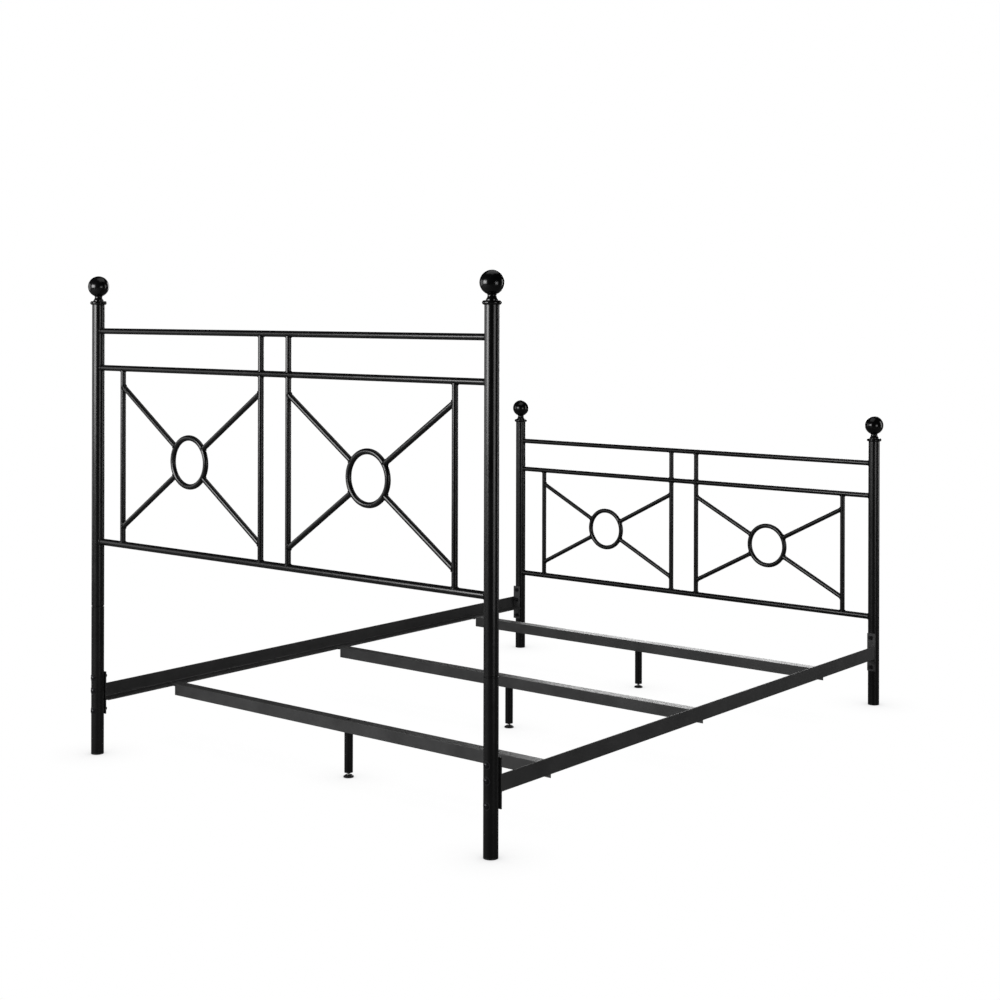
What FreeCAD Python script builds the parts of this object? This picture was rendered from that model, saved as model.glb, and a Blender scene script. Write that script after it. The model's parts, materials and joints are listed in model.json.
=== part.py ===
import FreeCAD, Part
import math
import os
import re
import Sketcher
from FreeCAD import Rotation, Vector

# A queen-size tubular steel bed frame. The origin is on the floor under the middle of the bed,
# with +X towards the sleeper's left, +Y towards the headboard and +Z up. All sizes are in mm.
SIZES = {
    # overall
    "post_spacing": 1540,            # between the post axes, across the bed
    "bed_length": 2083,              # between the headboard and the footboard post axes
    "head_ball_height": 1418.3,      # centre of the headboard's ball finials above the floor
    "foot_ball_height": 957.5,
    # posts
    "post_diameter": 38,
    "post_wall": 1.5,
    "leg_joint_height": 448.5,       # where a headboard post is joined to its leg
    "joint_gap": 2,                  # between the two tubes there, where the spigot shows
    "joint_chamfer": 1.2,
    "spigot_length": 120,
    "spigot_wall": 1.5,
    "slip_clearance": 0.1,           # all round a tube or plug that slides into another tube
    "cap_thickness": 4,
    "cap_plug_depth": 20,
    # finials, measured from the centre of the ball
    "ball_radius": 31.25,
    "neck_radius": 11.2,
    "neck_drop": 32,
    "flare_radius": 15.5,
    "flare_drop": 42,
    "collar_radius": 24.75,
    "collar_section": 5.5,
    "collar_drop": 49.8,
    "plug_depth": 25,
    # panels
    "head_top_height": 1283.3,
    "head_second_height": 1172.1,
    "head_bottom_height": 644.7,
    "foot_top_height": 826.9,
    "foot_second_height": 715.3,
    "foot_bottom_height": 300,
    "rail_diameter": 17.5,
    "low_rail_diameter": 20,
    "spindle_diameter": 16.5,
    "tube_wall": 1.2,
    "inner_spindle_offset": 54.3,
    "outer_spindle_inset": 118.7,    # from the post axis in to the outer spindle's
    "ring_diameter": 141,            # along the middle of the bar
    "ring_bar_diameter": 16,
    "brace_diameter": 15.5,
    "brace_drop": 52.7,              # from a rail's axis to a brace's end, along the spindle
    "weld_gap": 0.15,                # between a coped tube end and the tube it is welded to
    # side rails and their end plates
    "angle_height": 44.5,
    "angle_flange": 40,
    "angle_thickness": 3,
    "angle_root_radius": 4,
    "angle_base": 160.5,             # underside of the flange above the floor
    "angle_overhang": 16,            # from the post axis out to the face of the side rail
    "plate_width": 30,
    "plate_height": 128.5,
    "plate_thickness": 4,
    "plate_base": 118,
    "plate_overhang": 17,
    "plate_gap": 0.1,                # between an end plate and the round post
    # corner bolts
    "corner_bolt_low": 132,
    "corner_bolt_middle": 193,
    "corner_bolt_high": 232,
    "corner_bolt_diameter": 8,
    "corner_head_diameter": 16,
    "corner_head_height": 4.4,
    "corner_socket_flats": 5,
    "corner_nut_flats": 13,
    "corner_nut_height": 6.5,
    "bolt_clearance": 0.3,           # all round a bolt in its hole
    "thread_tail": 3,                # how far a bolt stands out of its nut
    "seat_gap": 0.1,                 # between a flat head and the round post
    # cross slats
    "slat_inset": 296.5,             # from the post axes in to the first and the last slat
    "slat_width": 35,
    "slat_drop": 35,
    "slat_thickness": 3,
    "slat_end_gap": 5,
    "slat_notch_gap": 3,
    "slat_bolt_diameter": 6,
    "slat_head_diameter": 12,
    "leg_head_diameter": 15,
    "flush_head_height": 2.6,        # of the countersunk heads, which sit just below the slat's top
    "slat_socket_flats": 4,
    "socket_depth": 2,
    "flush_drop": 0.1,
    "slat_nut_flats": 10,
    "slat_nut_height": 5,
    # centre legs and levelling glides
    "centre_leg_diameter": 25,
    "centre_leg_wall": 1.5,
    "sleeve_base": 14,
    "sleeve_flange": 2.5,
    "sleeve_depth": 28,
    "leg_plug_depth": 18,
    "leg_bolt_length": 16,
    "stem_diameter": 8,
    "stem_height": 52,
    "stem_clearance": 0.08,          # between a stem and its sleeve
    "pad_diameter": 30,
    "pad_height": 7,
    "pad_rim": 3,
    "pad_floor": 2,                  # plastic left under the stem
}

# Lengths that several pieces share, worked out from the sizes.
POST_Y = "bed_length / 2"
POST_R = "post_diameter / 2"
OUTER_SPINDLE_X = "(post_spacing / 2 - outer_spindle_inset)"
RING_X = f"(inner_spindle_offset + {OUTER_SPINDLE_X}) / 2"
BRACE_RUN = f"({OUTER_SPINDLE_X} - inner_spindle_offset) / 2"
SLAT_Y = "(bed_length / 2 - slat_inset)"
POST_BORE_R = "(post_diameter / 2 - post_wall)"
LEG_BORE_R = "(centre_leg_diameter / 2 - centre_leg_wall)"
PLATE_NEAR = "(bed_length / 2 - post_diameter / 2 - plate_gap)"
PLATE_INNER = f"({PLATE_NEAR} - plate_thickness)"
ANGLE_FACE = "(post_spacing / 2 + angle_overhang)"
ANGLE_INSIDE = f"({ANGLE_FACE} - angle_thickness)"
FLANGE_EDGE = f"({ANGLE_FACE} - angle_flange)"
SLAT_BOLT_X = f"(({ANGLE_INSIDE} + {FLANGE_EDGE}) / 2)"
FLANGE_TOP = "(angle_base + angle_thickness)"
SLAT_TOP = f"({FLANGE_TOP} + slat_thickness)"
CORNER_BOLTS = ("corner_bolt_low", "corner_bolt_middle", "corner_bolt_high")

SIDES = {"left": 1, "right": -1}
ENDS = {"head": 1, "foot": -1}
SLATS = {"head": 1, "middle": 0, "foot": -1}
OVERCUT = 20                         # how far a cutting shape reaches past what it cuts

doc = FreeCAD.newDocument("MetalBedFrame")
sheet = doc.addObject("Spreadsheet::Sheet", "Sizes")
for row, (alias, size) in enumerate(SIZES.items(), start=1):
    sheet.set(f"A{row}", alias)
    sheet.set(f"B{row}", str(size))
    sheet.setAlias(f"B{row}", alias)
doc.recompute()
sub_parts = []


def bound(text):
    """Turn size names into references to the sheet."""
    return re.sub(r"[a-z]+(?:_[a-z]+)+", lambda found: "Sizes." + found.group(0), str(text))


def amount(text):
    """The present value of an expression on the sizes."""
    return float(sheet.evalExpression(bound(text)))


def bind(thing, **properties):
    for name, text in properties.items():
        thing.setExpression(name, bound(text))


def place(thing, x=0, y=0, z=0):
    for axis, text in (("x", x), ("y", y), ("z", z)):
        thing.setExpression(f"Placement.Base.{axis}", bound(text))


def keep(thing, x=0, y=0, z=0):
    """Place a finished sub-part and list it for export."""
    place(thing, x, y, z)
    sub_parts.append(thing)
    return thing


def group(label, pieces):
    """Several alike pieces as one sub-part of separate solids."""
    compound = doc.addObject("Part::Compound", label)
    compound.Links = pieces
    return compound


# ---------------------------------------------------------------- sketches and bodies

def new_body(label):
    body = doc.addObject("PartDesign::Body", label)
    body.Label = label
    return body


def new_sketch(body, plane):
    sketch = body.newObject("Sketcher::SketchObject", "Sketch")
    support = next(item for item in body.Origin.OriginFeatures if item.Role == plane)
    sketch.AttachmentSupport = [(support, "")]
    sketch.MapMode = "FlatFace"
    return sketch


def pin(sketch, geometry, point, x=None, y=None):
    """Hold a point of the sketch at a distance from its origin, along either or both axes."""
    for kind, text in (("DistanceX", x), ("DistanceY", y)):
        if text is not None:
            rule = Sketcher.Constraint(kind, -1, 1, geometry, point, amount(text))
            index = sketch.addConstraint(rule)
            sketch.setExpression(f"Constraints[{index}]", bound(text))


def add_circle(sketch, diameter, x=0, y=0):
    centre = Vector(amount(x), amount(y), 0)
    circle = Part.Circle(centre, Vector(0, 0, 1), amount(diameter) / 2)
    geometry = sketch.addGeometry(circle, False)
    pin(sketch, geometry, 3, x, y)
    rule = Sketcher.Constraint("Diameter", geometry, amount(diameter))
    index = sketch.addConstraint(rule)
    sketch.setExpression(f"Constraints[{index}]", bound(diameter))


def add_outline(sketch, corners):
    """A closed outline of straight lines through the corners, each an (x, y) pair."""
    points = [Vector(amount(x), amount(y), 0) for x, y in corners]
    lines = []
    for start, end in zip(points, points[1:] + points[:1]):
        lines.append(sketch.addGeometry(Part.LineSegment(start, end), False))
    for line, following in zip(lines, lines[1:] + lines[:1]):
        sketch.addConstraint(Sketcher.Constraint("Coincident", line, 2, following, 1))
    for line, (x, y) in zip(lines, corners):
        pin(sketch, line, 1, x, y)
    return lines


def pad(body, sketch, length, symmetric=False, reverse=False):
    feature = body.newObject("PartDesign::Pad", "Pad")
    feature.Profile = sketch
    feature.SideType = "Symmetric" if symmetric else "One side"
    feature.Reversed = reverse
    bind(feature, Length=length)
    return feature


def cut_through(body, sketch):
    """Cut the sketch right through the body, both ways."""
    before = body.Tip
    feature = body.newObject("PartDesign::Pocket", "Pocket")
    feature.Profile = sketch
    feature.Type = "ThroughAll"
    feature.SideType = "Symmetric"
    doc.recompute()
    if feature.Shape.Volume >= before.Shape.Volume:
        raise RuntimeError(f"{body.Label}: a cut takes nothing away")
    return feature


def revolve(body, sketch):
    feature = body.newObject("PartDesign::Revolution", "Revolution")
    feature.Profile = sketch
    feature.ReferenceAxis = (sketch, ["V_Axis"])
    feature.Angle = 360
    return feature


def ring_edges(feature, radius, height):
    """The names of a feature's circular edges of one radius at one height."""
    doc.recompute()
    names = []
    for number, edge in enumerate(feature.Shape.Edges, start=1):
        curve = edge.Curve
        if isinstance(curve, Part.Circle) and abs(curve.Radius - amount(radius)) < 0.01:
            if abs(curve.Center.z - amount(height)) < 0.01:
                names.append(f"Edge{number}")
    return names


def chamfer_ring(body, radius, height, size):
    """Chamfer the rims of one radius at one height of what the body is so far."""
    before = body.Tip
    chamfer = body.newObject("PartDesign::Chamfer", "Chamfer")
    chamfer.Base = (before, ring_edges(before, radius, height))
    bind(chamfer, Size=size)
    return chamfer


# ---------------------------------------------------------------- tubes

def upright_tube(label, diameter, wall, length):
    body = new_body(label)
    sketch = new_sketch(body, "XY_Plane")
    add_circle(sketch, diameter)
    add_circle(sketch, f"{diameter} - 2 * {wall}")
    pad(body, sketch, length)
    return body


def cross_tube(label, diameter, wall, length):
    """A tube along X with its middle at the body's origin."""
    body = new_body(label)
    sketch = new_sketch(body, "YZ_Plane")
    add_circle(sketch, diameter)
    add_circle(sketch, f"{diameter} - 2 * {wall}")
    pad(body, sketch, length, symmetric=True)
    return body


def add_corner_holes(body, base):
    """The cross holes of the corner bolts, in a tube whose lower end is at the base height."""
    sketch = new_sketch(body, "XZ_Plane")
    for height in CORNER_BOLTS:
        add_circle(sketch, "corner_bolt_diameter + 2 * bolt_clearance", 0, f"{height} - {base}")
    cut_through(body, sketch)


def post_top(end):
    return f"({end}_ball_height - collar_drop - collar_section)"


def make_head_post(name, side):
    base = "(leg_joint_height + joint_gap / 2)"
    length = f"{post_top('head')} - {base}"
    body = upright_tube(f"head_post_{name}", "post_diameter", "post_wall", length)
    chamfer_ring(body, POST_R, 0, "joint_chamfer")
    keep(body, f"{side} * post_spacing / 2", POST_Y, base)


def make_head_leg(name, side):
    length = "leg_joint_height - joint_gap / 2 - cap_thickness"
    body = upright_tube(f"head_leg_{name}", "post_diameter", "post_wall", length)
    chamfer_ring(body, POST_R, length, "joint_chamfer")
    add_corner_holes(body, "cap_thickness")
    keep(body, f"{side} * post_spacing / 2", POST_Y, "cap_thickness")


def make_foot_post(name, side):
    length = f"{post_top('foot')} - cap_thickness"
    body = upright_tube(f"foot_post_{name}", "post_diameter", "post_wall", length)
    add_corner_holes(body, "cap_thickness")
    keep(body, f"{side} * post_spacing / 2", f"-1 * {POST_Y}", "cap_thickness")


def make_spigots():
    """The tubes inside the headboard posts that join them to their legs."""
    tubes = []
    for name, side in SIDES.items():
        outer = "post_diameter - 2 * post_wall - 2 * slip_clearance"
        body = upright_tube(f"spigot_{name}", f"({outer})", "spigot_wall", "spigot_length")
        place(body, f"{side} * post_spacing / 2", 0, 0)
        tubes.append(body)
    keep(group("leg_spigots", tubes), 0, POST_Y, "leg_joint_height - spigot_length / 2")


# ---------------------------------------------------------------- finials and leg caps

def make_finial(end, name):
    """A turned ball on a neck, with a collar that sits on the post and a plug inside it."""
    body = new_body(f"{end}_finial_{name}")
    sketch = new_sketch(body, "XZ_Plane")
    centre = "(collar_drop + collar_section)"
    plug_r = f"{POST_BORE_R} - slip_clearance"
    neck_z = f"{centre} - neck_drop"
    flare_z = f"{centre} - flare_drop"
    ball_r = amount("ball_radius")
    neck_r = amount("neck_radius")
    fillet_r = (amount("neck_drop") ** 2 + neck_r ** 2 - ball_r ** 2) / (2 * (ball_r - neck_r))
    cove_drop = amount("flare_drop - neck_drop")
    cove_step = amount("flare_radius - neck_radius")
    cove_r = (cove_drop ** 2 + cove_step ** 2) / (2 * cove_step)
    low = math.asin(amount("neck_drop") / (ball_r + fillet_r))
    cove_angle = math.asin(cove_drop / cove_r)

    def arc(x, z, radius, start, end_angle):
        circle = Part.Circle(Vector(x, z, 0), Vector(0, 0, 1), radius)
        return sketch.addGeometry(Part.ArcOfCircle(circle, start, end_angle), False)

    # from the top of the ball, down the outside, to the collar's foot
    ball = arc(0, amount(centre), ball_r, -low, math.pi / 2)
    fillet = arc(neck_r + fillet_r, amount(neck_z), fillet_r, math.pi - low, math.pi)
    cove = arc(neck_r + cove_r, amount(neck_z), cove_r, math.pi, math.pi + cove_angle)
    bead_x = "collar_radius - collar_section"
    bead = arc(amount(bead_x), amount("collar_section"), amount("collar_section"),
               -math.pi / 2, math.pi / 2)
    corners = (
        ("flare_radius", flare_z), ("flare_radius", "2 * collar_section"),
        (bead_x, "2 * collar_section"),
    )
    shoulder = [Vector(amount(x), amount(y), 0) for x, y in corners]
    side = sketch.addGeometry(Part.LineSegment(shoulder[0], shoulder[1]), False)
    shelf = sketch.addGeometry(Part.LineSegment(shoulder[1], shoulder[2]), False)
    foot = ((bead_x, 0), (plug_r, 0), (plug_r, "-plug_depth"), (0, "-plug_depth"),
            (0, f"{centre} + ball_radius"))
    points = [Vector(amount(x), amount(y), 0) for x, y in foot]
    lines = []
    for start, stop in zip(points, points[1:]):
        lines.append(sketch.addGeometry(Part.LineSegment(start, stop), False))

    joins = [(ball, 1, fillet, 1), (fillet, 2, cove, 1), (cove, 2, side, 1), (side, 2, shelf, 1),
             (shelf, 2, bead, 2), (bead, 1, lines[0], 1), (lines[-1], 2, ball, 2)]
    joins += [(line, 2, following, 1) for line, following in zip(lines, lines[1:])]
    for first, first_end, second, second_end in joins:
        kind = "Tangent" if (first, second) == (ball, fillet) else "Coincident"
        sketch.addConstraint(Sketcher.Constraint(kind, first, first_end, second, second_end))
    pin(sketch, ball, 3, 0, centre)
    pin(sketch, fillet, 3, None, neck_z)
    pin(sketch, fillet, 2, "neck_radius", neck_z)
    pin(sketch, cove, 3, None, neck_z)
    pin(sketch, side, 1, "flare_radius", flare_z)
    pin(sketch, shelf, 1, "flare_radius", "2 * collar_section")
    pin(sketch, bead, 2, bead_x, "2 * collar_section")
    pin(sketch, bead, 3, bead_x)
    for line, (x, y) in zip(lines, foot):
        pin(sketch, line, 1, x, y)
    pin(sketch, lines[-1], 2, 0, f"{centre} + ball_radius")
    revolve(body, sketch)
    keep(body, f"{SIDES[name]} * post_spacing / 2", f"{ENDS[end]} * {POST_Y}", post_top(end))


def make_leg_caps():
    """A plastic cap under each of the four legs, with a hollow plug inside the tube."""
    caps = []
    plug_r = f"{POST_BORE_R} - slip_clearance"
    for end, along in ENDS.items():
        for name, side in SIDES.items():
            body = new_body(f"cap_{end}_{name}")
            sketch = new_sketch(body, "XZ_Plane")
            add_outline(sketch, [
                (0, 0), (POST_R, 0), (POST_R, "cap_thickness"), (plug_r, "cap_thickness"),
                (plug_r, "cap_thickness + cap_plug_depth"),
                (f"{plug_r} - cap_thickness / 2", "cap_thickness + cap_plug_depth"),
                (f"{plug_r} - cap_thickness / 2", "cap_thickness"), (0, "cap_thickness"),
            ])
            revolve(body, sketch)
            place(body, f"{side} * post_spacing / 2", f"{along} * {POST_Y}", 0)
            caps.append(body)
    keep(group("leg_caps", caps))


# ---------------------------------------------------------------- headboard and footboard panels

def make_panel_rail(end, level, diameter):
    """A rail between the posts, with each end coped to the round post."""
    body = cross_tube(f"{end}_{level}_rail", diameter, "tube_wall", "post_spacing")
    sketch = new_sketch(body, "XY_Plane")
    for side in SIDES.values():
        add_circle(sketch, "post_diameter + 2 * weld_gap", f"{side} * post_spacing / 2")
    cut_through(body, sketch)
    keep(body, 0, f"{ENDS[end]} * {POST_Y}", f"{end}_{level}_height")


def make_upright(label, x, low, low_diameter, high, high_diameter):
    """A tube between two rails, with both ends coped to the rails."""
    length = f"({high} - {low})"
    body = upright_tube(label, "spindle_diameter", "tube_wall", length)
    sketch = new_sketch(body, "YZ_Plane")
    add_circle(sketch, f"{low_diameter} + 2 * weld_gap", 0, 0)
    add_circle(sketch, f"{high_diameter} + 2 * weld_gap", 0, length)
    cut_through(body, sketch)
    place(body, x, 0, low)
    return body


def ring_height(end):
    return f"(({end}_second_height + {end}_bottom_height) / 2)"


def make_ring(end, name):
    """A ring of round bar that stands in the plane of the panel."""
    ring = doc.addObject("Part::Torus", f"{end}_ring_{name}")
    ring.Label = f"{end}_ring_{name}"
    bind(ring, Radius1="ring_diameter / 2", Radius2="ring_bar_diameter / 2")
    ring.Placement.Rotation = Rotation(Vector(1, 0, 0), 90)
    keep(ring, f"{SIDES[name]} * {RING_X}", f"{ENDS[end]} * {POST_Y}", ring_height(end))


def make_braces(end, name):
    """Four tubes from the ring out to the spindles, coped to both, as mirror images of one."""
    label = f"{end}_braces_{name}"
    rise = f"({end}_second_height - {end}_bottom_height) / 2 - brace_drop"
    reach = f"sqrt(({BRACE_RUN})^2 + ({rise})^2)"
    rods = []
    for part, diameter in (("bar", "brace_diameter"), ("bore", "brace_diameter - 2 * tube_wall")):
        rod = doc.addObject("Part::Cylinder", f"{label}_{part}")
        rod.Placement.Rotation = Rotation(Vector(0, 1, 0), 45)
        bind(rod, Radius=f"({diameter}) / 2", Height=reach)
        rod.setExpression("Placement.Rotation.Angle", bound(f"90 deg - atan(({rise}) / ({BRACE_RUN}))"))
        rods.append(rod)
    spindle = doc.addObject("Part::Cylinder", f"{label}_spindle_cut")
    bind(spindle, Radius="spindle_diameter / 2 + weld_gap", Height=f"2 * ({rise}) + {OVERCUT}")
    place(spindle, BRACE_RUN, 0, f"-1 * {OVERCUT} / 2")
    bar = doc.addObject("Part::Torus", f"{label}_ring_cut")
    bind(bar, Radius1="ring_diameter / 2", Radius2="ring_bar_diameter / 2 + weld_gap")
    bar.Placement.Rotation = Rotation(Vector(1, 0, 0), 90)
    eye = doc.addObject("Part::Cylinder", f"{label}_eye_cut")
    eye.Placement.Rotation = Rotation(Vector(1, 0, 0), 90)
    bind(eye, Radius="ring_diameter / 2", Height="2 * brace_diameter")
    place(eye, 0, "brace_diameter", 0)
    cutters = doc.addObject("Part::MultiFuse", f"{label}_cutters")
    cutters.Shapes = [rods[1], spindle, bar, eye]
    first = doc.addObject("Part::Cut", f"{label}_first")
    first.Base = rods[0]
    first.Tool = cutters
    across = doc.addObject("Part::Mirroring", f"{label}_across")
    across.Source = first
    across.Normal = Vector(1, 0, 0)
    pair = [first, across]
    for source in (first, across):
        below = doc.addObject("Part::Mirroring", f"{source.Name}_below")
        below.Source = source
        below.Normal = Vector(0, 0, 1)
        pair.append(below)
    keep(group(label, pair), f"{SIDES[name]} * {RING_X}", f"{ENDS[end]} * {POST_Y}",
         ring_height(end))


def make_panel(end):
    make_panel_rail(end, "top", "rail_diameter")
    make_panel_rail(end, "second", "rail_diameter")
    make_panel_rail(end, "bottom", "low_rail_diameter")
    plane = f"{ENDS[end]} * {POST_Y}"
    second = f"{end}_second_height"
    bottom = f"{end}_bottom_height"
    struts = []
    for name, side in SIDES.items():
        inner = f"{side} * inner_spindle_offset"
        outer = f"{side} * {OUTER_SPINDLE_X}"
        struts.append(make_upright(f"{end}_strut_{name}", inner, second, "rail_diameter",
                                   f"{end}_top_height", "rail_diameter"))
        for place_name, x in (("inner", inner), ("outer", outer)):
            spindle = make_upright(f"{end}_{place_name}_spindle_{name}", x, bottom,
                                   "low_rail_diameter", second, "rail_diameter")
            keep(spindle, x, plane, bottom)
        make_ring(end, name)
        make_braces(end, name)
    keep(group(f"{end}_struts", struts), 0, plane, 0)


# ---------------------------------------------------------------- side rails and corners

def make_side_rail(name, side):
    """A steel angle with its flange at the bottom, turned in under the mattress."""
    body = new_body(f"side_rail_{name}")
    sketch = new_sketch(body, "XZ_Plane")
    add_outline(sketch, [
        (0, 0), (0, "angle_height"), (f"{-side} * angle_thickness", "angle_height"),
        (f"{-side} * angle_thickness", "angle_thickness"),
        (f"{-side} * angle_flange", "angle_thickness"), (f"{-side} * angle_flange", 0),
    ])
    angle = pad(body, sketch, f"2 * {PLATE_INNER}", symmetric=True)
    doc.recompute()
    corner = Vector(-side * amount("angle_thickness"), 0, amount("angle_thickness"))
    root = [f"Edge{number}" for number, edge in enumerate(angle.Shape.Edges, start=1)
            if edge.Length > amount("bed_length") / 2
            and edge.distToShape(Part.Vertex(corner))[0] < 0.01]
    fillet = body.newObject("PartDesign::Fillet", "Fillet")
    fillet.Base = (angle, root)
    bind(fillet, Radius="angle_root_radius")
    holes = new_sketch(body, "XY_Plane")
    for along in SLATS.values():
        add_circle(holes, "slat_bolt_diameter + 2 * bolt_clearance",
                   f"{side} * ({SLAT_BOLT_X} - {ANGLE_FACE})", f"{along} * {SLAT_Y}")
    doc.recompute()
    cut_through(body, holes)
    keep(body, f"{side} * {ANGLE_FACE}", 0, "angle_base")


def make_end_plates(name):
    """The plates on a side rail's ends that the corner bolts hold against the posts."""
    side = SIDES[name]
    outer = f"{side} * plate_overhang"
    inner = f"{side} * (plate_overhang - plate_width)"
    plates = []
    for end, along in ENDS.items():
        body = new_body(f"end_plate_{end}_{name}")
        sketch = new_sketch(body, "XZ_Plane")
        add_outline(sketch, [(inner, 0), (outer, 0), (outer, "plate_height"),
                             (inner, "plate_height")])
        for height in CORNER_BOLTS:
            add_circle(sketch, "corner_bolt_diameter + 2 * bolt_clearance", 0,
                       f"{height} - plate_base")
        pad(body, sketch, "plate_thickness", reverse=(end == "foot"))
        place(body, 0, f"{along} * {PLATE_NEAR}", 0)
        plates.append(body)
    keep(group(f"end_plates_{name}", plates), f"{side} * post_spacing / 2", 0, "plate_base")


def cut_socket(body, flats, top):
    """The hexagon socket in a bolt's head."""
    socket = body.newObject("PartDesign::SubtractivePrism", "Socket")
    socket.Polygon = 6
    bind(socket, Circumradius=f"{flats} / sqrt(3)", Height="2 * socket_depth")
    place(socket, 0, 0, f"{top} - socket_depth")


def make_domed_bolt(label, diameter, head_diameter, head_height, length):
    """A bolt that hangs down from the underside of its domed head, with a hexagon socket."""
    body = new_body(label)
    sketch = new_sketch(body, "XZ_Plane")
    head_r = f"{head_diameter} / 2"
    shank_r = f"{diameter} / 2"
    corners = [(0, head_height), (0, f"-1 * ({length})"), (shank_r, f"-1 * ({length})"),
               (shank_r, 0), (head_r, 0)]
    points = [Vector(amount(x), amount(y), 0) for x, y in corners]
    lines = [sketch.addGeometry(Part.LineSegment(start, stop), False)
             for start, stop in zip(points, points[1:])]
    half = amount(head_r)
    rise = amount(head_height)
    dome_r = (half ** 2 + rise ** 2) / (2 * rise)
    circle = Part.Circle(Vector(0, rise - dome_r, 0), Vector(0, 0, 1), dome_r)
    start = math.atan2(dome_r - rise, half)
    dome = sketch.addGeometry(Part.ArcOfCircle(circle, start, math.pi / 2), False)
    for line, following in zip(lines, lines[1:] + [dome]):
        sketch.addConstraint(Sketcher.Constraint("Coincident", line, 2, following, 1))
    sketch.addConstraint(Sketcher.Constraint("Coincident", dome, 2, lines[0], 1))
    for line, (x, y) in zip(lines, corners):
        pin(sketch, line, 1, x, y)
    pin(sketch, lines[-1], 2, *corners[-1])
    pin(sketch, dome, 3, 0)
    revolve(body, sketch)
    cut_socket(body, "corner_socket_flats", head_height)
    return body


def make_corner_bolt(end, name, height):
    """A bolt that passes through the leg and the end plate, with its head on the leg."""
    length = f"{POST_Y} + {POST_R} + seat_gap - {PLATE_INNER} + corner_nut_height + thread_tail"
    bolt = make_domed_bolt(f"corner_bolt_{end}_{name}_{height}", "corner_bolt_diameter",
                           "corner_head_diameter", "corner_head_height", length)
    bolt.Placement.Rotation = Rotation(Vector(1, 0, 0), -90 * ENDS[end])
    place(bolt, f"{SIDES[name]} * post_spacing / 2",
          f"{ENDS[end]} * ({POST_Y} + {POST_R} + seat_gap)", height)
    return bolt


def make_nut(label, flats, height, bolt_diameter):
    """A hexagon nut along +Z, bored for its bolt."""
    block = doc.addObject("Part::Prism", f"{label}_block")
    block.Polygon = 6
    bind(block, Circumradius=f"{flats} / sqrt(3)", Height=height)
    bore = doc.addObject("Part::Cylinder", f"{label}_bore")
    bind(bore, Radius=f"{bolt_diameter} / 2 + slip_clearance", Height=height)
    nut = doc.addObject("Part::Cut", label)
    nut.Base = block
    nut.Tool = bore
    return nut


def make_corner_fasteners():
    bolts = []
    nuts = []
    for end in ENDS:
        for name in SIDES:
            for height in CORNER_BOLTS:
                bolts.append(make_corner_bolt(end, name, height))
                nut = make_nut(f"corner_nut_{end}_{name}_{height}", "corner_nut_flats",
                               "corner_nut_height", "corner_bolt_diameter")
                nut.Placement.Rotation = Rotation(Vector(1, 0, 0), 90 * ENDS[end])
                place(nut, f"{SIDES[name]} * post_spacing / 2", f"{ENDS[end]} * {PLATE_INNER}", height)
                nuts.append(nut)
    for label, pieces in (("corner_bolts", bolts), ("corner_nuts", nuts)):
        keep(group(label, pieces))


# ---------------------------------------------------------------- cross slats and centre legs

def make_slat(name, along):
    """A steel angle across the bed that lies on both side rails' flanges."""
    body = new_body(f"slat_{name}")
    sketch = new_sketch(body, "YZ_Plane")
    near = "-slat_width / 2"
    far = "slat_width / 2"
    add_outline(sketch, [
        (near, "slat_thickness"), (near, 0), (f"{far} - slat_thickness", 0),
        (f"{far} - slat_thickness", "slat_thickness - slat_drop"),
        (far, "slat_thickness - slat_drop"), (far, "slat_thickness"),
    ])
    pad(body, sketch, f"2 * ({ANGLE_INSIDE} - slat_end_gap)", symmetric=True)
    doc.recompute()
    notches = new_sketch(body, "XZ_Plane")
    for side in SIDES.values():
        inner = f"{side} * ({FLANGE_EDGE} - slat_notch_gap)"
        outer = f"{side} * ({ANGLE_FACE} + {OVERCUT})"
        add_outline(notches, [(inner, "-slat_drop"), (outer, "-slat_drop"), (outer, 0), (inner, 0)])
    cut_through(body, notches)
    holes = new_sketch(body, "XY_Plane")
    bolts = [(f"{side} * {SLAT_BOLT_X}", "slat_bolt_diameter", "slat_head_diameter")
             for side in SIDES.values()]
    bolts.append(("0", "stem_diameter", "leg_head_diameter"))
    for x, diameter, head_diameter in bolts:
        add_circle(holes, f"{diameter} + 2 * bolt_clearance", x)
    cut_through(body, holes)
    for x, diameter, head_diameter in bolts:
        sink = body.newObject("PartDesign::SubtractiveCone", "Countersink")
        bind(sink, Radius1=f"{diameter} / 2 + bolt_clearance", Height="flush_head_height",
             Radius2=f"{head_diameter} / 2 + bolt_clearance")
        place(sink, x, 0, "slat_thickness - flush_head_height")
    keep(body, 0, f"{along} * {SLAT_Y}", FLANGE_TOP)


def make_flush_bolt(label, diameter, head_diameter, socket_flats, length):
    """A bolt that hangs down from the flat top of its countersunk head."""
    body = new_body(label)
    sketch = new_sketch(body, "XZ_Plane")
    add_outline(sketch, [
        (0, 0), (f"{head_diameter} / 2", 0), (f"{diameter} / 2", "-flush_head_height"),
        (f"{diameter} / 2", f"-1 * ({length})"), (0, f"-1 * ({length})"),
    ])
    revolve(body, sketch)
    cut_socket(body, socket_flats, 0)
    return body


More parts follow.
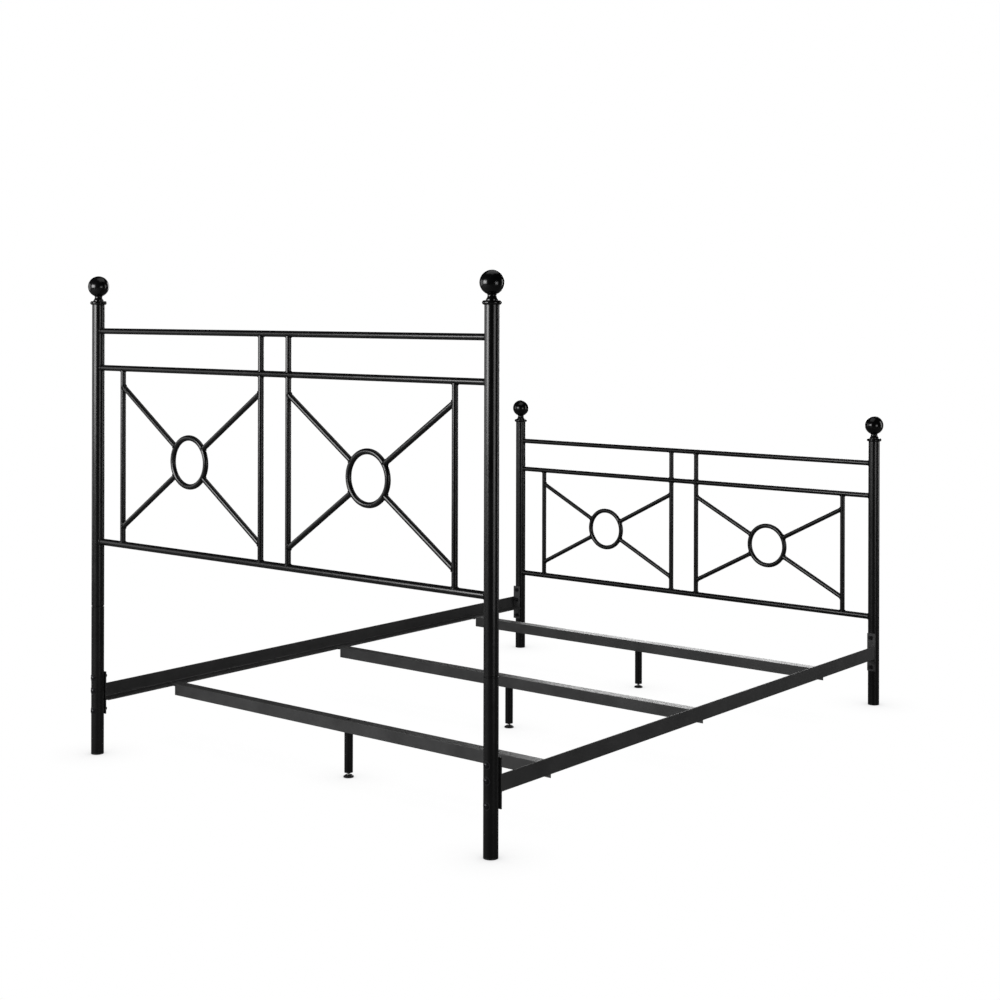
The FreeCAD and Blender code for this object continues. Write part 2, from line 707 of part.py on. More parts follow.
def make_slat_fasteners():
    bolts = []
    nuts = []
    length = "slat_thickness - flush_drop + angle_thickness + slat_nut_height + thread_tail / 2"
    for name, along in SLATS.items():
        for side_name, side in SIDES.items():
            x = f"{side} * {SLAT_BOLT_X}"
            y = f"{along} * {SLAT_Y}"
            bolt = make_flush_bolt(f"slat_bolt_{name}_{side_name}", "slat_bolt_diameter",
                                   "slat_head_diameter", "slat_socket_flats", length)
            place(bolt, x, y, f"{SLAT_TOP} - flush_drop")
            bolts.append(bolt)
            nut = make_nut(f"slat_nut_{name}_{side_name}", "slat_nut_flats", "slat_nut_height",
                           "slat_bolt_diameter")
            place(nut, x, y, "angle_base - slat_nut_height")
            nuts.append(nut)
    for label, pieces in (("slat_bolts", bolts), ("slat_nuts", nuts)):
        keep(group(label, pieces))


def make_centre_leg(name, along):
    base = "(sleeve_base + sleeve_flange)"
    body = upright_tube(f"centre_leg_{name}", "centre_leg_diameter", "centre_leg_wall",
                        f"{FLANGE_TOP} - {base}")
    keep(body, 0, f"{along} * {SLAT_Y}", base)


def make_leg_fittings():
    """In each centre leg: a steel plug and its bolt at the top, a threaded sleeve at the foot."""
    plugs = []
    bolts = []
    sleeves = []
    inside = f"{LEG_BORE_R} - slip_clearance"
    for name, along in SLATS.items():
        y = f"{along} * {SLAT_Y}"
        plug = new_body(f"leg_plug_{name}")
        sketch = new_sketch(plug, "XY_Plane")
        add_circle(sketch, f"2 * ({inside})")
        add_circle(sketch, "stem_diameter + 2 * slip_clearance")
        pad(plug, sketch, "leg_plug_depth", reverse=True)
        place(plug, 0, y, FLANGE_TOP)
        plugs.append(plug)
        bolt = make_flush_bolt(f"leg_bolt_{name}", "stem_diameter", "leg_head_diameter",
                               "corner_socket_flats", "leg_bolt_length")
        place(bolt, 0, y, f"{SLAT_TOP} - flush_drop")
        bolts.append(bolt)
        sleeve = new_body(f"sleeve_{name}")
        sketch = new_sketch(sleeve, "XZ_Plane")
        bore = "stem_diameter / 2 + stem_clearance"
        add_outline(sketch, [
            (bore, 0), ("centre_leg_diameter / 2", 0), ("centre_leg_diameter / 2", "sleeve_flange"),
            (inside, "sleeve_flange"), (inside, "sleeve_depth"), (bore, "sleeve_depth"),
        ])
        revolve(sleeve, sketch)
        place(sleeve, 0, y, "sleeve_base")
        sleeves.append(sleeve)
    for label, pieces in (("leg_plugs", plugs), ("leg_bolts", bolts), ("leg_sleeves", sleeves)):
        keep(group(label, pieces))


def make_glide(name, along):
    """A levelling foot: a threaded stem held in a plastic pad."""
    pad_body = new_body(f"glide_pad_{name}")
    sketch = new_sketch(pad_body, "XZ_Plane")
    socket_r = "stem_diameter / 2 + slip_clearance"
    pad_r = "pad_diameter / 2"
    add_outline(sketch, [
        (0, 0), (pad_r, 0), (pad_r, "pad_rim"), (f"({pad_r} + {socket_r}) / 2", "pad_height"),
        (socket_r, "pad_height"), (socket_r, "pad_floor"), (0, "pad_floor"),
    ])
    revolve(pad_body, sketch)
    keep(pad_body, 0, f"{along} * {SLAT_Y}", 0)
    stem = new_body(f"glide_stem_{name}")
    sketch = new_sketch(stem, "XY_Plane")
    add_circle(sketch, "stem_diameter")
    pad(stem, sketch, "stem_height - pad_floor")
    keep(stem, 0, f"{along} * {SLAT_Y}", "pad_floor")


# ---------------------------------------------------------------- assembly

for side_name, side_sign in SIDES.items():
    make_head_post(side_name, side_sign)
    make_head_leg(side_name, side_sign)
    make_foot_post(side_name, side_sign)
    make_side_rail(side_name, side_sign)
    make_end_plates(side_name)
make_spigots()
make_leg_caps()
for end_name in ENDS:
    make_panel(end_name)
    for side_name in SIDES:
        make_finial(end_name, side_name)
make_corner_fasteners()
for slat_name, slat_place in SLATS.items():
    make_slat(slat_name, slat_place)
    make_centre_leg(slat_name, slat_place)
    make_glide(slat_name, slat_place)
make_slat_fasteners()
make_leg_fittings()
doc.recompute()

for item in doc.Objects:
    if "Invalid" in item.State or "Error" in item.State:
        raise RuntimeError(f"{item.Label} could not be made: {item.State}")
for item in sub_parts:
    if item.Shape.isNull() or not item.Shape.isValid() or not item.Shape.Solids:
        raise RuntimeError(f"{item.Label} has no valid solid")

os.makedirs("parts", exist_ok=True)
for item in sub_parts:
    item.Shape.exportStep(f"parts/{item.Label}.step")
print(f"{len(sub_parts)} sub-parts, {sum(len(item.Shape.Solids) for item in sub_parts)} solids")
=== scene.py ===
import json
from functools import cached_property
from math import atan2, cos, hypot, pi, radians, sin, sqrt

import bmesh
import bpy
from mathutils import Matrix, Quaternion, Vector


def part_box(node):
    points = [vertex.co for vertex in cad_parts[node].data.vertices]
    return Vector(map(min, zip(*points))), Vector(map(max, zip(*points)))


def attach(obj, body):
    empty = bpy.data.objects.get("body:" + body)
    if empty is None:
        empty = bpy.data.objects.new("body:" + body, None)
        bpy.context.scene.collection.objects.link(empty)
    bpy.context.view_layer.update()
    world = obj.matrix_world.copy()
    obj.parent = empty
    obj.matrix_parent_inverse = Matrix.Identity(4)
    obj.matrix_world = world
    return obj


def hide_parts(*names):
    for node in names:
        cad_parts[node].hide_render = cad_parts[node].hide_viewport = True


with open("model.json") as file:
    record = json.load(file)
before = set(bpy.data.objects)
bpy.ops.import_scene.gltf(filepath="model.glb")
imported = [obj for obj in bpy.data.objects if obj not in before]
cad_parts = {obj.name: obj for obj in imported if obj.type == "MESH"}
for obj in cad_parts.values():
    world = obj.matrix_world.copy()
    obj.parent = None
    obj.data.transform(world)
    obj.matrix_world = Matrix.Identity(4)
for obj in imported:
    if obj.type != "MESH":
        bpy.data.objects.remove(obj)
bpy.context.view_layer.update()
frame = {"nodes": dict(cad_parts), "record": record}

MM = 0.001
MERGE = 0.01 * MM                    # corners nearer than this are one corner
SLATS = ("head", "middle", "foot")
nodes = frame["nodes"]


def middle(node):
    low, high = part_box(node)
    return (low + high) / 2


def extent(node):
    low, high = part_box(node)
    return high - low


def solids_in(mesh):
    """The vertices of each separate solid in a mesh."""
    solids = []
    left = set(mesh.verts)
    while left:
        solid = {left.pop()}
        front = set(solid)
        while front:
            near = {edge.other_vert(vert) for vert in front for edge in vert.link_edges}
            front = near - solid
            solid |= near
        left -= solid
        solids.append(solid)
    return solids


def pieces_of(node):
    """The boxes, as (low, high), of the separate solids in a node, sorted by their places."""
    mesh = bmesh.new()
    mesh.from_mesh(nodes[node].data)
    bmesh.ops.remove_doubles(mesh, verts=mesh.verts[:], dist=MERGE)
    boxes = []
    for solid in solids_in(mesh):
        low, high = ([pick(vert.co[axis] for vert in solid) for axis in range(3)]
                     for pick in (min, max))
        boxes.append((Vector(low), Vector(high)))
    mesh.free()
    return sorted(boxes, key=lambda box: tuple(box[0]))


def edges_at(verts):
    """The edges that meet the vertices, each once."""
    return list(dict.fromkeys(edge for vert in verts for edge in vert.link_edges))


def face_outwards(mesh):
    """Turn the faces of each closed solid in a mesh outwards.

    Recalculated normals can leave one of many solids inside out. Its volume is then negative.
    """
    bmesh.ops.recalc_face_normals(mesh, faces=mesh.faces[:])
    mesh.normal_update()
    for solid in solids_in(mesh):
        faces = list({face for vert in solid for face in vert.link_faces})
        volume = sum(face.calc_area() * face.normal.dot(face.calc_center_median())
                     for face in faces) / 3
        if volume < 0:
            bmesh.ops.reverse_faces(mesh, faces=faces)


# ---------------------------------------------------------------- shader maths

class Value:
    """An output socket that takes part in Python arithmetic."""

    def __init__(self, shader, socket):
        self.shader = shader
        self.socket = socket

    def maths(self, operation, *others):
        values = dict(enumerate((self, *others)))
        return self.shader.node("ShaderNodeMath", {"operation": operation}, values)

    def __add__(self, other):
        return self.maths("ADD", other)

    def __mul__(self, other):
        return self.maths("MULTIPLY", other)

    def __sub__(self, other):
        return self.maths("SUBTRACT", other)

    def __rsub__(self, other):
        return self * -1 + other

    __radd__ = __add__
    __rmul__ = __mul__

    def clamp(self):
        return self.maths("MINIMUM", 1.0).maths("MAXIMUM", 0.0)

    def between(self, low, high):
        """0 at low, 1 at high, straight in between."""
        return ((self - low) * (1 / (high - low))).clamp()


class Shader:
    """The node tree of a material or a world, while it is made."""

    def __init__(self, owner):
        self.owner = owner
        owner.use_nodes = True
        self.tree = owner.node_tree
        self.tree.nodes.clear()

    def node(self, kind, settings=None, values=None, output=0):
        """A node of one kind, with its settings, then the values or links of its sockets."""
        made = self.tree.nodes.new(kind)
        for name, setting in (settings or {}).items():
            setattr(made, name, setting)
        for name, value in (values or {}).items():
            if isinstance(value, Value):
                self.tree.links.new(value.socket, made.inputs[name])
            elif isinstance(value, tuple):
                made.inputs[name].default_value = (*value, 1)
            else:
                made.inputs[name].default_value = value
        return Value(self, made.outputs[output])

    @cached_property
    def place(self):
        return self.node("ShaderNodeTexCoord", output="Object")

    def noise(self, size, detail=2.0, roughness=0.5):
        """Noise whose blotches are about as large as the size, in metres."""
        values = {"Vector": self.place, "Scale": 1 / size, "Detail": detail, "Roughness": roughness}
        return self.node("ShaderNodeTexNoise", values=values)

    def mix(self, factor, first, second):
        """A colour between two others. Inputs 6 and 7 and output 2 are the node's colour ones."""
        values = {0: factor, 6: first, 7: second}
        return self.node("ShaderNodeMix", {"data_type": "RGBA"}, values, output=2)

    def blend(self, factor, first, second):
        """A surface between two others."""
        return self.node("ShaderNodeMixShader", values={0: factor, 1: first, 2: second})

    def facing_up(self):
        normal = self.node("ShaderNodeNewGeometry", output="Normal")
        return self.node("ShaderNodeSeparateXYZ", values={0: normal}, output="Z")

    def bump(self, height, distance):
        return self.node("ShaderNodeBump", values={"Height": height, "Distance": distance})

    def surface(self, **sockets):
        """A surface, from socket names written with underscores for spaces."""
        values = {name.replace("_", " "): value for name, value in sockets.items()}
        return self.node("ShaderNodeBsdfPrincipled", values=values)

    def finish(self, surface, kind="Material"):
        output = self.tree.nodes.new("ShaderNodeOutput" + kind)
        self.tree.links.new(surface.socket, output.inputs["Surface"])
        return self.owner


def new_material(name):
    return Shader(bpy.data.materials.new(name))


# ---------------------------------------------------------------- materials

BLACK = (0.0018, 0.0018, 0.0019)
BLACK_WORN = (0.0042, 0.0042, 0.0044)
CHARCOAL = (0.042, 0.042, 0.0425)
CHARCOAL_WORN = (0.058, 0.058, 0.0585)
DUST = (0.16, 0.155, 0.145)


def coated_steel(name, colour, worn, sheen, grain, dust):
    """Baked coating: a fine orange-peel skin, slightly uneven gloss and a trace of dust on top.

    The sheen is the least roughness and the grain the height of the skin's relief. The dust is
    the most of it that lies on faces that look up.
    """
    shader = new_material(name)
    peel = shader.noise(7 * MM, 1.0)
    grains = shader.noise(1.6 * MM, 2.0)
    pores = shader.noise(0.4 * MM, 1.0)
    patches = shader.noise(90 * MM, 4.0, 0.6)
    specks = shader.noise(14 * MM, 5.0, 0.7).between(0.38, 0.75)
    settled = shader.facing_up().between(0.55, 1.0) * specks
    tone = shader.mix(patches.between(0.35, 0.7), colour, worn)
    return shader.finish(shader.surface(
        Base_Color=shader.mix(settled * dust, tone, DUST),
        Roughness=patches.between(0.3, 0.75) * 0.07 + grains * 0.06 + settled * 0.12 + sheen,
        Specular_IOR_Level=0.42,
        Normal=shader.bump(peel * 1.6 + grains * 0.45 + pores * 0.12, grain),
    ))


def moulded_plastic():
    shader = new_material("moulded black plastic")
    spark = shader.noise(0.35 * MM, 2.0)
    flow = shader.noise(11 * MM, 3.0)
    return shader.finish(shader.surface(
        Base_Color=shader.mix(flow.between(0.3, 0.7),
                              (0.008, 0.008, 0.0085), (0.016, 0.016, 0.0165)),
        Roughness=spark * 0.12 + 0.44,
        Specular_IOR_Level=0.4,
        Normal=shader.bump(spark, 0.03 * MM),
    ))


def blackened_steel():
    """Black oxide on bolts and nuts: a dark blue-grey metal with rubbed spots."""
    shader = new_material("black oxide steel")
    fine = shader.noise(0.3 * MM, 2.0)
    rubbed = shader.noise(1.8 * MM, 4.0, 0.65).between(0.56, 0.74)
    return shader.finish(shader.surface(
        Base_Color=shader.mix(rubbed, (0.016, 0.016, 0.018), (0.055, 0.055, 0.058)),
        Metallic=0.55,
        Roughness=fine * 0.12 + rubbed * 0.08 + 0.30,
        Normal=shader.bump(fine, 0.02 * MM),
    ))


def zinc_steel():
    """Bright zinc plate with its faint crystal mottle."""
    shader = new_material("zinc plated steel")
    crystals = {"Vector": shader.place, "Scale": 1 / (1.6 * MM)}
    mottle = shader.node("ShaderNodeTexVoronoi", values=crystals)
    fine = shader.noise(0.25 * MM, 2.0)
    return shader.finish(shader.surface(
        Base_Color=shader.mix(mottle.between(0.1, 0.7), (0.42, 0.42, 0.40), (0.56, 0.56, 0.53)),
        Metallic=1.0,
        Roughness=fine * 0.14 + 0.26,
        Normal=shader.bump(fine, 0.015 * MM),
    ))


FINISHES = {
    "powder_coat": coated_steel("satin black powder coat", BLACK, BLACK_WORN,
                                sheen=0.20, grain=0.014 * MM, dust=0.03),
    "finial_enamel": coated_steel("gloss black enamel", BLACK, BLACK_WORN,
                                  sheen=0.13, grain=0.030 * MM, dust=0.02),
    "rail_paint": coated_steel("satin rail paint", CHARCOAL, CHARCOAL_WORN,
                               sheen=0.30, grain=0.040 * MM, dust=0.05),
    "black_plastic": moulded_plastic(),
    "black_fastener": blackened_steel(),
    "zinc_steel": zinc_steel(),
}

slot_of = {row["node"]: row["material_slot"] for row in frame["record"]["subparts"]}
for name, part in nodes.items():
    part.data.materials.clear()
    part.data.materials.append(FINISHES[slot_of[name]])


# ---------------------------------------------------------------- new pieces

SHARP = radians(45)                  # a crease at least this steep stays sharp


def new_piece(name, mesh, slot, body="frame"):
    """Turn a finished bmesh into a piece that rides on a body."""
    face_outwards(mesh)
    data = bpy.data.meshes.new(name)
    mesh.to_mesh(data)
    mesh.free()
    data.shade_smooth()
    data.set_sharp_from_angle(angle=SHARP)
    data.materials.append(FINISHES[slot])
    piece = bpy.data.objects.new(name, data)
    bpy.context.scene.collection.objects.link(piece)
    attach(piece, body)
    return piece


BEAD = 2.0 * MM                      # radius of a weld bead's section
BEAD_STEPS = 36
BEAD_SIDES = 8
BEAD_OUT = 0.25 * BEAD               # from the rod's wall out to the middle of the bead
BEAD_UP = 0.2 * BEAD                 # from the other wall up to the middle of the bead
RIPPLE_PITCH = 2.4 * MM
RIPPLE_HEIGHT = 0.07                 # as a share of the bead's radius


def add_bead(mesh, origin, direction, rod_radius, wall_axis, wall_radius):
    """A weld bead round the foot of a rod, where it leaves a round wall.

    The origin is on the wall's axis, and the direction points along the rod, away from the wall.
    """
    direction = direction.normalized()
    wall_axis = wall_axis.normalized()
    across = direction.cross(wall_axis).normalized()
    along = across.cross(direction)
    ring = rod_radius + BEAD_OUT
    section = Matrix.Translation((ring, 0, 0)) @ Matrix.Rotation(pi / 2, 4, "X")
    circle = bmesh.ops.create_circle(mesh, segments=BEAD_SIDES, radius=BEAD, matrix=section)
    before = set(mesh.verts) - set(circle["verts"])
    bmesh.ops.spin(mesh, geom=circle["verts"] + edges_at(circle["verts"]), cent=(0, 0, 0),
                   axis=(0, 0, 1), angle=2 * pi, steps=BEAD_STEPS, use_merge=True)
    ripples = round(2 * pi * ring / RIPPLE_PITCH)
    lean = direction - direction.dot(wall_axis) * wall_axis
    for vert in set(mesh.verts) - before:
        turn = atan2(vert.co.y, vert.co.x)
        swell = 1 + RIPPLE_HEIGHT * sin(ripples * turn)
        out = ring + (hypot(vert.co.x, vert.co.y) - ring) * swell
        spoke = cos(turn) * across + sin(turn) * along
        offset = rod_radius * (spoke - spoke.dot(wall_axis) * wall_axis)
        half = offset.dot(lean)
        gap = lean.length_squared * (offset.length_squared - wall_radius ** 2)
        reach = (sqrt(max(half ** 2 - gap, 0)) - half) / lean.length_squared
        vert.co = origin + out * spoke + (vert.co.z * swell + reach + BEAD_UP) * direction


def standing(start, end):
    """The turn that points +Z from the start to the end."""
    return (end - start).to_track_quat("Z", "Y").to_matrix().to_4x4()


def add_seam(mesh, start, end, radius):
    """A straight weld bead between two points."""
    place = Matrix.Translation((start + end) / 2) @ standing(start, end)
    bmesh.ops.create_cone(mesh, cap_ends=True, segments=10, radius1=radius, radius2=radius,
                          depth=(end - start).length, matrix=place)


# ---------------------------------------------------------------- weld beads on the panels

X = Vector((1, 0, 0))
Y = Vector((0, 1, 0))
Z = Vector((0, 0, 1))
SIDES = {"left": 1, "right": -1}


def brace_slope(end, run, bar_radius, clear_radius):
    """The rise over run of the braces, from the height of their box."""
    height = extent(f"{end}_braces_left").z / 2
    reach = run - clear_radius
    square = reach ** 2 - bar_radius ** 2
    root = sqrt((reach * height) ** 2 - square * (height ** 2 - bar_radius ** 2))
    return (reach * height - root) / square


def weld_panel(end):
    """The beads round every tube end of a headboard or footboard panel."""
    mesh = bmesh.new()
    post_radius = extent(f"{end}_post_left").x / 2
    for level in ("top", "second", "bottom"):
        rail = middle(f"{end}_{level}_rail")
        rail_radius = extent(f"{end}_{level}_rail").z / 2
        for side, sign in SIDES.items():
            post = middle(f"{end}_post_{side}")
            origin = Vector((post.x, post.y, rail.z))
            add_bead(mesh, origin, -sign * X, rail_radius, Z, post_radius)
    top, second, bottom = (middle(f"{end}_{level}_rail").z for level in ("top", "second", "bottom"))
    thin = extent(f"{end}_top_rail").z / 2
    thick = extent(f"{end}_bottom_rail").z / 2
    for side, sign in SIDES.items():
        inner = middle(f"{end}_inner_spindle_{side}")
        outer = middle(f"{end}_outer_spindle_{side}")
        spindle_radius = extent(f"{end}_inner_spindle_{side}").x / 2
        tubes = [(inner, second, top, thin, thin), (inner, bottom, second, thick, thin),
                 (outer, bottom, second, thick, thin)]
        for tube, low, high, low_radius, high_radius in tubes:
            add_bead(mesh, Vector((tube.x, tube.y, low)), Z, spindle_radius, X, low_radius)
            add_bead(mesh, Vector((tube.x, tube.y, high)), -Z, spindle_radius, X, high_radius)
        ring = middle(f"{end}_ring_{side}")
        bar_radius = extent(f"{end}_ring_{side}").y / 2
        ring_radius = extent(f"{end}_ring_{side}").x / 2 - bar_radius
        brace_radius = extent(f"{end}_braces_{side}").y / 2
        run = abs(outer.x - ring.x)
        slope = brace_slope(end, run, brace_radius, spindle_radius)
        for across in (-1, 1):
            for up in (-1, 1):
                outward = Vector((across, 0, up * slope)).normalized()
                tangent = outward.cross(Y)
                add_bead(mesh, ring + ring_radius * outward, outward, brace_radius,
                         tangent, bar_radius)
                corner = ring + Vector((across * run, 0, up * slope * run))
                add_bead(mesh, corner, -outward, brace_radius, Z, spindle_radius)
    new_piece(f"{end}_panel_welds", mesh, "powder_coat")


ANGLE_WALL = 3 * MM
SEAM = 1.6 * MM                      # radius of the straight beads


def weld_side_rail(side, sign):
    """The beads that hold a side rail's ends to its end plates."""
    mesh = bmesh.new()
    low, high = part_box(f"side_rail_{side}")
    plate_low, plate_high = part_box(f"end_plates_{side}")
    face = high.x if sign > 0 else low.x
    inside = face - sign * ANGLE_WALL
    inner = max(plate_low.x, low.x) if sign > 0 else min(plate_high.x, high.x)
    flange_top = low.z + ANGLE_WALL
    for y in (low.y, high.y):
        for start, end in (
            ((inside, y, flange_top + ANGLE_WALL), (inside, y, high.z)),
            ((inner, y, flange_top), (inside, y, flange_top)),
            ((inner, y, low.z), (face, y, low.z)),
        ):
            add_seam(mesh, Vector(start), Vector(end), SEAM)
    new_piece(f"side_rail_welds_{side}", mesh, "rail_paint")


for end_name in ("head", "foot"):
    weld_panel(end_name)
for side_name, side_sign in SIDES.items():
    weld_side_rail(side_name, side_sign)


# ---------------------------------------------------------------- threads and washers

PITCH = 1.25 * MM
ROWS_A_TURN = 6                      # rows of faces along each turn of a thread
FLANK = 0.8                          # below 1, the flanks bulge and the groove is narrow


def add_thread(mesh, start, end, radius, depth, steps):
    """A screw thread between two points: a spun tube whose wall is pushed in along a helix."""
    length = (end - start).length
    rows = round(length / PITCH * ROWS_A_TURN)
    column = bmesh.ops.create_vert(mesh, co=(radius, 0, 0))["vert"]
    for _ in range(rows):
        grown = bmesh.ops.extrude_vert_indiv(mesh, verts=[column[-1]])["verts"][0]
        grown.co.z += length / rows
        column.append(grown)
    known = set(mesh.verts) - set(column)
    bmesh.ops.spin(mesh, geom=column + edges_at(column), cent=(0, 0, 0), axis=(0, 0, 1),
                   angle=2 * pi, steps=steps, use_merge=True)
    made = [vert for vert in mesh.verts if vert not in known]
    for vert in made:
        turn = atan2(vert.co.y, vert.co.x) / (2 * pi)
        groove = abs(2 * ((vert.co.z / PITCH - turn) % 1) - 1)
        lead_in = 1 - min(1, (length - vert.co.z) / PITCH)
        shrink = 1 - depth * (groove ** FLANK + lead_in) / radius
        vert.co.x *= shrink
        vert.co.y *= shrink
    rims = [edge for edge in edges_at(made) if edge.is_boundary]
    bmesh.ops.holes_fill(mesh, edges=rims)
    place = Matrix.Translation(start) @ standing(start, end)
    bmesh.ops.transform(mesh, verts=made, matrix=place)


STEM_THREAD_DEPTH = 0.55 * MM


def make_stem(place):
    """The threaded stem of a levelling glide."""
    node = f"glide_stem_{place}"
    size = extent(node)
    foot = middle(node) - size.z / 2 * Z
    mesh = bmesh.new()
    add_thread(mesh, foot, foot + size.z * Z, size.x / 2, STEM_THREAD_DEPTH, steps=28)
    stem = new_piece(f"threaded_stem_{place}", mesh, "zinc_steel", f"glide_{place}")
    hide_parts(node)


WASHER_RADIUS = 11 * MM
WASHER_THICKNESS = 1.2 * MM
WASHER_RINGS = (0.25, 3 / 14, 0.25)  # widths of the rings of faces that let it bend


def make_saddle_washers():
    """Round washers bent to a leg's curve, one under each corner bolt's head."""
    post_radius = extent("head_leg_left").x / 2
    mesh = bmesh.new()
    for low, high in pieces_of("corner_bolts"):
        centre = (low + high) / 2
        outward = 1 if centre.y > 0 else -1
        leg = middle("head_leg_left" if centre.y > 0 else "foot_post_left")
        known = set(mesh.verts)
        disc = bmesh.ops.create_circle(mesh, cap_ends=True, segments=32, radius=WASHER_RADIUS)
        face = disc["verts"][0].link_faces[:]
        for width in WASHER_RINGS:
            bmesh.ops.inset_region(mesh, faces=face, thickness=width * WASHER_RADIUS, depth=0)
        flat = [near for near in mesh.faces if known.isdisjoint(near.verts)]
        raised = bmesh.ops.extrude_face_region(mesh, geom=flat)
        lifted = [item for item in raised["geom"] if isinstance(item, bmesh.types.BMVert)]
        bmesh.ops.translate(mesh, verts=lifted, vec=(0, 0, WASHER_THICKNESS))
        for vert in set(mesh.verts) - known:
            radius = post_radius + vert.co.z
            bend = vert.co.x / post_radius
            vert.co = Vector((centre.x + radius * sin(bend), leg.y + outward * radius * cos(bend),
                              centre.z + vert.co.y))
    new_piece("saddle_washers", mesh, "black_fastener")


SHANK_RADIUS = 4 * MM
CREST = 0.35 * MM                    # how far the thread stands out of the plain shank
TAIL_THREAD_DEPTH = 0.4 * MM


def make_bolt_threads():
    """The threaded tails that stand out of the corner nuts."""
    mesh = bmesh.new()
    nuts = pieces_of("corner_nuts")
    for low, high in pieces_of("corner_bolts"):
        centre = (low + high) / 2
        inward = -1 if centre.y > 0 else 1
        tail = low.y if inward < 0 else high.y
        nut = min(nuts, key=lambda box: (box[0] + box[1] - low - high).length)
        nut_face = nut[0].y if inward < 0 else nut[1].y
        start = Vector((centre.x, nut_face, centre.z))
        end = Vector((centre.x, tail + inward * CREST, centre.z))
        add_thread(mesh, start, end, SHANK_RADIUS + CREST, TAIL_THREAD_DEPTH, steps=24)
    new_piece("bolt_threads", mesh, "black_fastener")


for slat_name in SLATS:
    make_stem(slat_name)
make_saddle_washers()
make_bolt_threads()


# ---------------------------------------------------------------- rolled and sheared edges

SQUARE = radians(60)                 # only corners at least this steep are rounded
LEVEL = radians(1)                   # faces that differ less than this are one flat face
WIDE = (10 * MM) ** 2                # faces at least this large stay flat, with no false shading


def round_edges(node, radius, shortest):
    """A copy of a flat steel piece whose outer edges longer than the shortest are rounded."""
    mesh = bmesh.new()
    mesh.from_mesh(nodes[node].data)
    bmesh.ops.remove_doubles(mesh, verts=mesh.verts[:], dist=MERGE)
    bmesh.ops.dissolve_limit(mesh, angle_limit=LEVEL, verts=mesh.verts[:], edges=mesh.edges[:])
    mesh.normal_update()
    corners = [edge for edge in mesh.edges if edge.is_manifold and edge.calc_length() > shortest
               and edge.calc_face_angle_signed() > SQUARE]
    bmesh.ops.bevel(mesh, geom=corners, offset=radius, affect="EDGES", segments=3, profile=0.5,
                    material=-1, clamp_overlap=True)
    piece = new_piece(f"rounded_{node}", mesh, slot_of[node])
    for face in piece.data.polygons:
        face.use_smooth = face.area < WIDE
    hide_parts(node)


for side_name in SIDES:
    round_edges(f"side_rail_{side_name}", 1.3 * MM, shortest=0.1)
    round_edges(f"end_plates_{side_name}", 0.9 * MM, shortest=4 * MM)
for slat_name in SLATS:
    round_edges(f"slat_{slat_name}", 0.9 * MM, shortest=4 * MM)


# ---------------------------------------------------------------- floor, light and camera

WHITE = (1.0, 1.0, 1.0)
# SHADE is the colour of the floor's painted contact shadow, not a lit one.
SHADE = (0.60, 0.60, 0.61)
AMBIENT = 0.015                      # the world's light on the metal
FLOOR_RADIUS = 40


def studio_floor():
    """A pale floor, white to the eye apart from a painted shade where something stands on it."""
    mesh = bmesh.new()
    bmesh.ops.create_circle(mesh, cap_ends=True, segments=96, radius=FLOOR_RADIUS)
    data = bpy.data.meshes.new("studio floor")
    mesh.to_mesh(data)
    mesh.free()
    floor = bpy.data.objects.new("studio_floor", data)
    bpy.context.scene.collection.objects.link(floor)
    shader = new_material("pale floor")
    paint = shader.surface(Base_Color=(0.26, 0.26, 0.26), Roughness=0.8, Specular_IOR_Level=0.1)
    # Painted shade: ambient occlusion near anything standing on the floor darkens the colour the
    # camera sees towards SHADE.
    shade = shader.node("ShaderNodeAmbientOcclusion", {"samples": 8}, {"Distance": 0.16},
                        output="AO")
    tone = shader.mix(shade.between(0.35, 0.95), SHADE, WHITE)
    seen = shader.node("ShaderNodeEmission", values={"Color": tone, "Strength": 1.0})
    direct = shader.node("ShaderNodeLightPath", output="Is Camera Ray")
    under = shader.node("ShaderNodeNewGeometry", output="Backfacing")
    clear = shader.node("ShaderNodeBsdfTransparent")
    above = shader.blend(direct, paint, seen)
    data.materials.append(shader.finish(shader.blend(under, above, clear)))


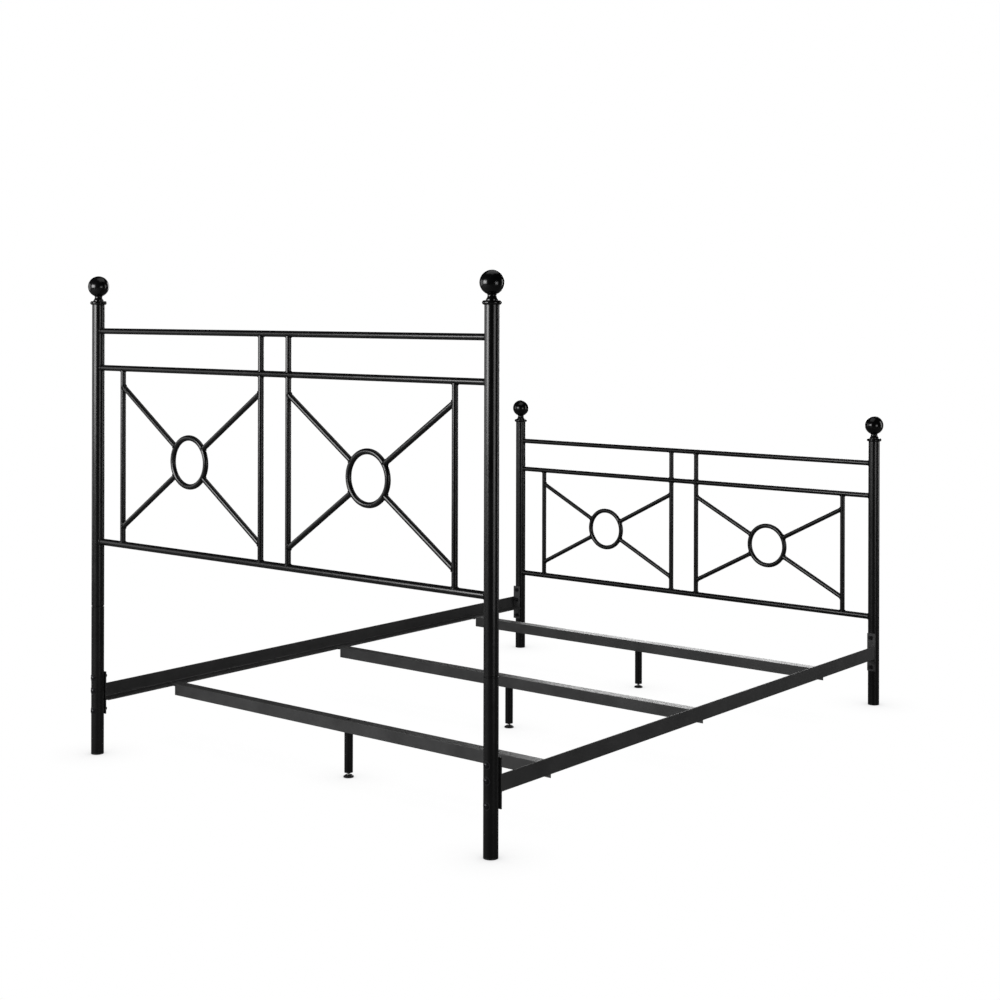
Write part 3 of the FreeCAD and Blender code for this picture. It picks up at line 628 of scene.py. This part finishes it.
def studio_world():
    """White to the eye, and nearly dark in what the metal mirrors."""
    world = bpy.data.worlds.new("studio")
    bpy.context.scene.world = world
    shader = Shader(world)
    direct = shader.node("ShaderNodeLightPath", output="Is Camera Ray")
    values = {"Color": WHITE, "Strength": direct * (1 - AMBIENT) + AMBIENT}
    shader.finish(shader.node("ShaderNodeBackground", values=values), "World")


def softbox(name, place, target, width, tall, radiance):
    """A rectangular lamp at a place, aimed at a target. The camera doesn't see it."""
    lamp = bpy.data.lights.new(name, "AREA")
    lamp.shape = "RECTANGLE"
    lamp.size = width
    lamp.size_y = tall
    lamp.energy = radiance * pi * width * tall
    box = bpy.data.objects.new(name, lamp)
    bpy.context.scene.collection.objects.link(box)
    box.location = place
    box.rotation_mode = "QUATERNION"
    box.rotation_quaternion = (Vector(target) - box.location).to_track_quat("-Z", "Y")
    box.visible_camera = False


CAMERA_PLACE = (-3.3724, 4.2488, 1.3501)
CAMERA_HEADING = (0.62636, -0.77951, 0)
CAMERA_ROLL = 0.0024                 # radians


def camera():
    """A level camera whose picture is shifted down, so that upright posts stay parallel."""
    lens = bpy.data.cameras.new("camera")
    lens.sensor_width = 36
    lens.lens = 60.35
    lens.shift_y = -0.1900
    lens.clip_end = 200
    viewer = bpy.data.objects.new("camera", lens)
    bpy.context.scene.collection.objects.link(viewer)
    viewer.location = CAMERA_PLACE
    viewer.rotation_mode = "QUATERNION"
    level = Vector(CAMERA_HEADING).to_track_quat("-Z", "Y")
    viewer.rotation_quaternion = level @ Quaternion(Z, CAMERA_ROLL)
    bpy.context.scene.camera = viewer


studio_floor()
studio_world()
softbox("key softbox", (1.2, 4.5, 1.6), (-0.3, 1.0, 1.2), 2.4, 1.6, 11.8)
softbox("left softbox", (4.4, 2.6, 1.3), (0, 0.6, 0.9), 3.4, 2.4, 1.4)
softbox("right softbox", (-5.2, 1.7, 0.8), (-0.5, 0.6, 0.8), 2.0, 1.7, 3.6)
softbox("rim softbox", (-3.0, -3.0, 1.4), (-0.5, 0.2, 0.8), 1.0, 2.6, 3.2)
softbox("foot softbox", (2.2, -5.0, 1.8), (0, -0.5, 0.7), 2.4, 3.0, 4.0)
softbox("overhead softbox", (0, 0, 4.2), (0, 0, 0), 2.6, 3.2, 0.7)
camera()
bpy.context.scene.view_settings.view_transform = "Standard"
